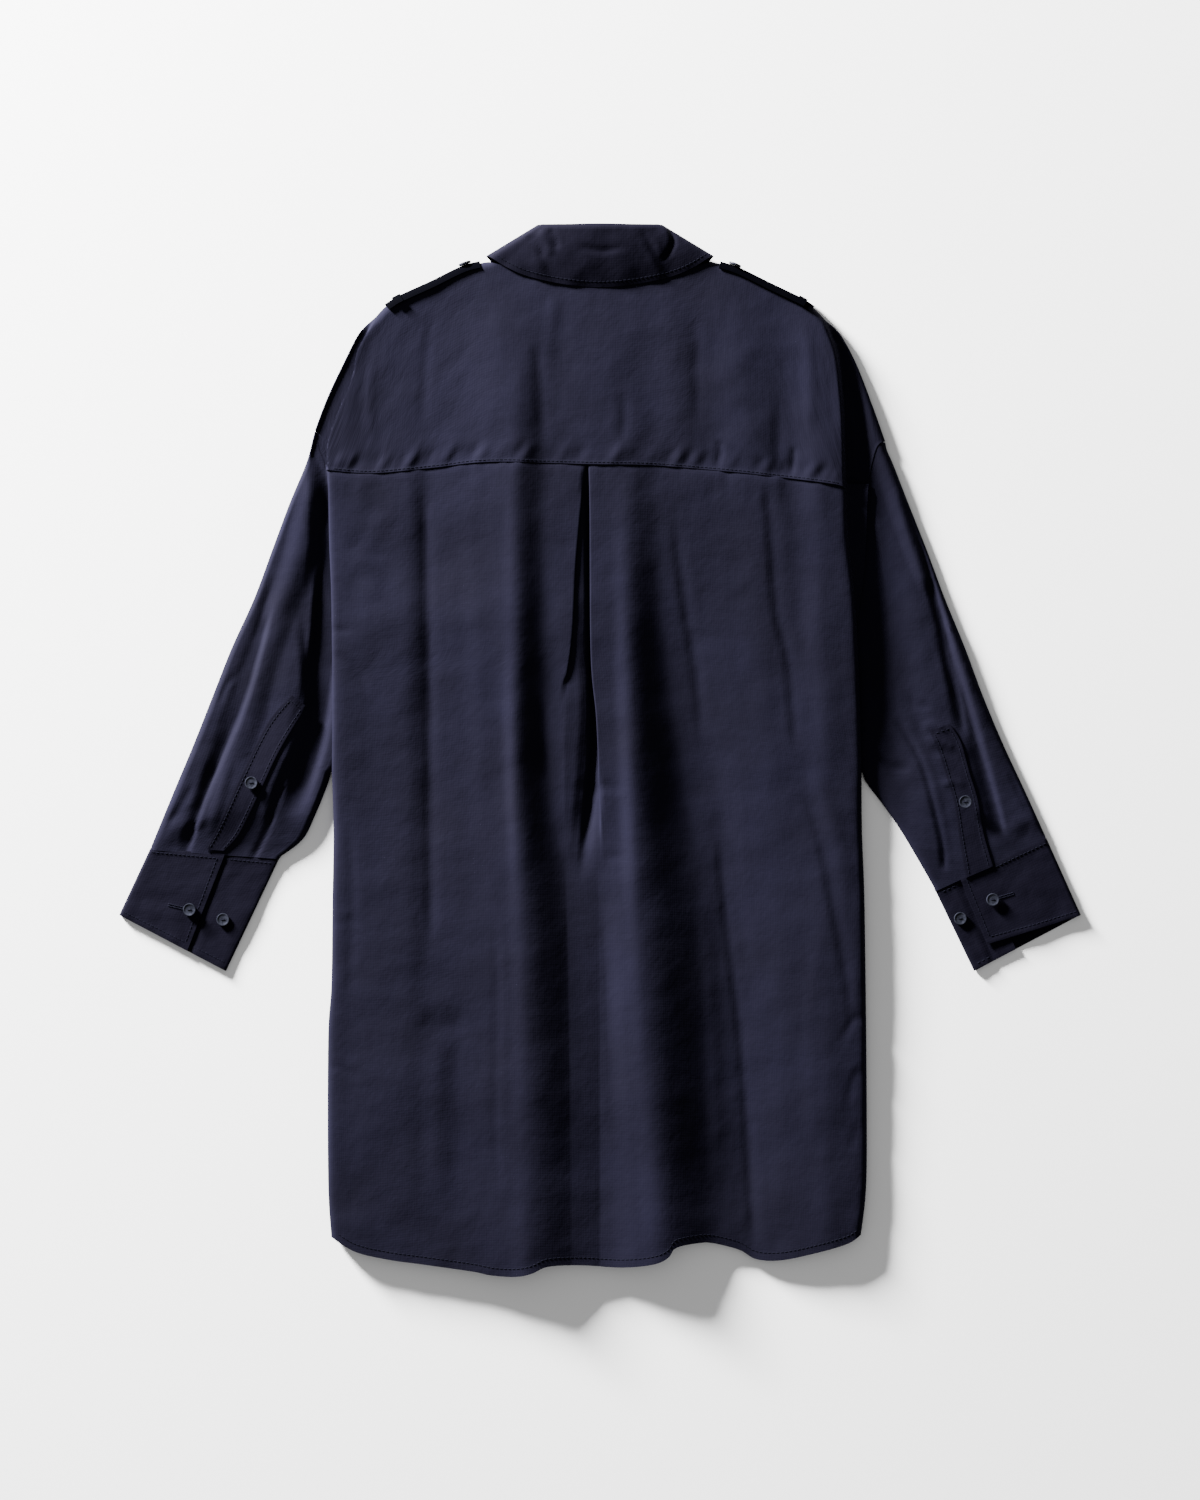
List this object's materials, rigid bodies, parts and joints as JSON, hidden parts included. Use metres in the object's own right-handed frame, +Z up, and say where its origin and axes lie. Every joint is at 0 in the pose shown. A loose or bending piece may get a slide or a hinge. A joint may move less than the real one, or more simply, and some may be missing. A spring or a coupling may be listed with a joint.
{
  "type": "long-sleeved blouse",
  "caption": "Long shirt blouse laid flat with its back up: yoke, inverted back pleat, collar, shoulder tabs, long sleeves with buttoned cuffs.",
  "frame": {"origin": "on the surface under the middle of the garment's bounding box", "axes": "+Y from the hem to the collar, +X to the wearer's right, +Z up out of the back, away from the surface"},
  "size_m": [0.865, 0.9451, 0.0239],
  "materials": {
    "cloth": "crisp navy cotton poplin with a slight sheen",
    "trim_cloth": "the same poplin, interlined, with topstitched edges",
    "button": "polished dark navy resin"
  },
  "bodies": {
    "root": {"back_yoke": "cloth", "back_body": "cloth", "front_left": "cloth", "front_right": "cloth", "sleeve_left": "cloth", "sleeve_right": "cloth", "collar_leaf": "cloth", "front_placket": "trim_cloth", "collar_stand": "trim_cloth", "cuff_left": "trim_cloth", "cuff_right": "trim_cloth", "sleeve_placket_left": "trim_cloth", "sleeve_placket_right": "trim_cloth", "epaulette_left": "trim_cloth", "epaulette_right": "trim_cloth", "epaulette_loop_left": "trim_cloth", "epaulette_loop_right": "trim_cloth", "button_cuff_left_1": "button", "button_cuff_left_2": "button", "button_cuff_right_1": "button", "button_cuff_right_2": "button", "button_placket_left": "button", "button_placket_right": "button", "button_epaulette_left": "button", "button_epaulette_right": "button", "button_front_1": "button", "button_front_2": "button", "button_front_3": "button", "button_front_4": "button", "button_front_5": "button"}
  },
  "joints": []
}
